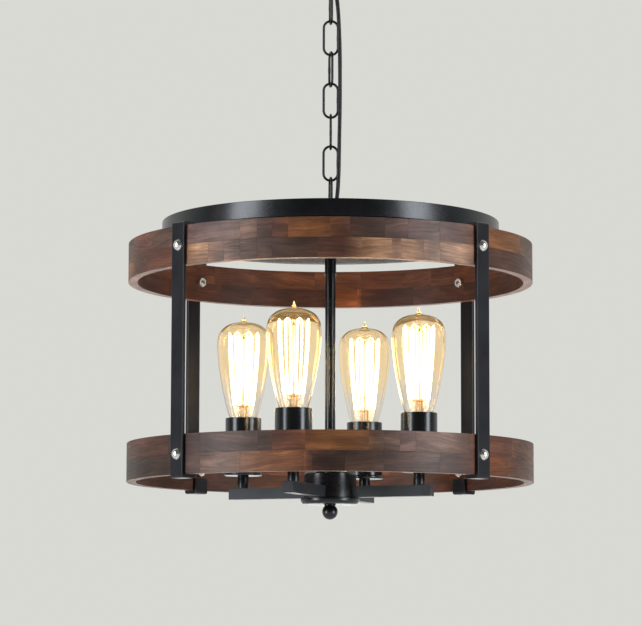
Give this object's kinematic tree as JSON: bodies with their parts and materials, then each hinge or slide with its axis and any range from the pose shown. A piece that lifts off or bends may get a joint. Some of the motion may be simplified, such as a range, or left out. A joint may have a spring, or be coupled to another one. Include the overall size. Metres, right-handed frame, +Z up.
{
  "type": "pendant light",
  "caption": "Drum pendant light: two wood rings joined by flat steel straps round a cluster of glass bulbs on a hub, hung on a chain from a ceiling canopy.",
  "frame": {"origin": "on the ceiling, at the centre of the mounting bracket's two slots", "axes": "+Z up into the ceiling, X along the mounting bracket and the crossbar, -Y towards the picture's camera"},
  "size_m": [0.48, 0.48, 0.698],
  "materials": {
    "black_satin": "satin black powder coat",
    "strap_black": "satin black enamel on flat steel",
    "socket_black": "semi-gloss black enamel",
    "chain_black": "dark oil-rubbed chain finish",
    "stained_wood": "walnut stain, low sheen",
    "silver_hardware": "bright nickel",
    "zinc": "zinc plated",
    "ground_green": "green dyed zinc",
    "cord_black": "smooth black sheath",
    "lead_wire": "insulated wire",
    "holder_ceramic": "glazed porcelain",
    "bulb_glass": "clear glass with an amber tint",
    "bulb_cap": "spun brass",
    "filament": "glowing carbon filament"
  },
  "bodies": {
    "canopy": {"ceiling_bracket": "zinc", "bracket_nipple": "zinc", "bracket_locknut": "zinc", "ground_screw": "ground_green", "canopy": "black_satin", "canopy_collar": "black_satin", "canopy_loop": "black_satin", "supply_cord": "cord_black"},
    "link_7": {"chain_link_7": "chain_black"},
    "link_6": {"chain_link_6": "chain_black"},
    "link_5": {"chain_link_5": "chain_black"},
    "link_4": {"chain_link_4": "chain_black"},
    "link_3": {"chain_link_3": "chain_black"},
    "link_2": {"chain_link_2": "chain_black"},
    "link_1": {"chain_link_1": "chain_black"},
    "drum": {"fixture_loop": "black_satin", "fixture_collar": "black_satin", "hanger_nipple": "zinc", "top_pan": "black_satin", "crossbar": "black_satin", "crossbar_screws": "black_satin", "upper_ring": "stained_wood", "lower_ring": "stained_wood", "strap_1": "strap_black", "strap_2": "strap_black", "strap_3": "strap_black", "strap_4": "strap_black", "strap_bolts": "silver_hardware", "strap_nuts": "silver_hardware", "rod_coupling": "black_satin", "centre_rod": "black_satin", "hub_body": "black_satin", "hub_cover": "black_satin", "finial": "black_satin", "arm_1": "black_satin", "arm_2": "black_satin", "arm_3": "black_satin", "arm_4": "black_satin", "socket_stems": "black_satin", "socket_cup_1": "socket_black", "socket_cup_2": "socket_black", "socket_cup_3": "socket_black", "socket_cup_4": "socket_black", "lamp_holders": "holder_ceramic", "inner_leads": "lead_wire"},
    "bulb_1": {"bulb_glass_1": "bulb_glass", "bulb_cap_1": "bulb_cap", "bulb_filament_1": "filament"},
    "bulb_2": {"bulb_glass_2": "bulb_glass", "bulb_cap_2": "bulb_cap", "bulb_filament_2": "filament"},
    "bulb_3": {"bulb_glass_3": "bulb_glass", "bulb_cap_3": "bulb_cap", "bulb_filament_3": "filament"},
    "bulb_4": {"bulb_glass_4": "bulb_glass", "bulb_cap_4": "bulb_cap", "bulb_filament_4": "filament"}
  },
  "joints": [
    {"name": "canopy_to_link_7", "type": "hinge", "parent": "canopy", "child": "link_7", "pos_m": [0, 0, -0.0648], "axis": [1, 0, 0], "range_deg": [-12, 12], "deforming": ["supply_cord"]},
    {"name": "link_7_to_link_6", "type": "hinge", "parent": "link_7", "child": "link_6", "pos_m": [0, 0, -0.1025], "axis": [-0.1392, 0.9903, 0], "range_deg": [-12, 12]},
    {"name": "link_6_to_link_5", "type": "hinge", "parent": "link_6", "child": "link_5", "pos_m": [0, 0, -0.1407], "axis": [1, 0, 0], "range_deg": [-12, 12]},
    {"name": "link_5_to_link_4", "type": "hinge", "parent": "link_5", "child": "link_4", "pos_m": [0, 0, -0.1789], "axis": [-0.2079, 0.9781, 0], "range_deg": [-12, 12]},
    {"name": "link_4_to_link_3", "type": "hinge", "parent": "link_4", "child": "link_3", "pos_m": [0, 0, -0.2171], "axis": [1, 0, 0], "range_deg": [-12, 12]},
    {"name": "link_3_to_link_2", "type": "hinge", "parent": "link_3", "child": "link_2", "pos_m": [0, 0, -0.2553], "axis": [0, 1, 0], "range_deg": [-12, 12]},
    {"name": "link_2_to_link_1", "type": "hinge", "parent": "link_2", "child": "link_1", "pos_m": [0, 0, -0.2935], "axis": [1, 0, 0], "range_deg": [-12, 12]},
    {"name": "link_1_to_drum", "type": "hinge", "parent": "link_1", "child": "drum", "pos_m": [0, 0, -0.3317], "axis": [-0.1392, 0.9903, 0], "range_deg": [-12, 12]},
    {"name": "bulb_1_lift", "type": "slide", "parent": "drum", "child": "bulb_1", "axis": [0, 0, 1], "range_m": [0, 0.028]},
    {"name": "bulb_2_lift", "type": "slide", "parent": "drum", "child": "bulb_2", "axis": [0, 0, 1], "range_m": [0, 0.028]},
    {"name": "bulb_3_lift", "type": "slide", "parent": "drum", "child": "bulb_3", "axis": [0, 0, 1], "range_m": [0, 0.028]},
    {"name": "bulb_4_lift", "type": "slide", "parent": "drum", "child": "bulb_4", "axis": [0, 0, 1], "range_m": [0, 0.028]}
  ]
}
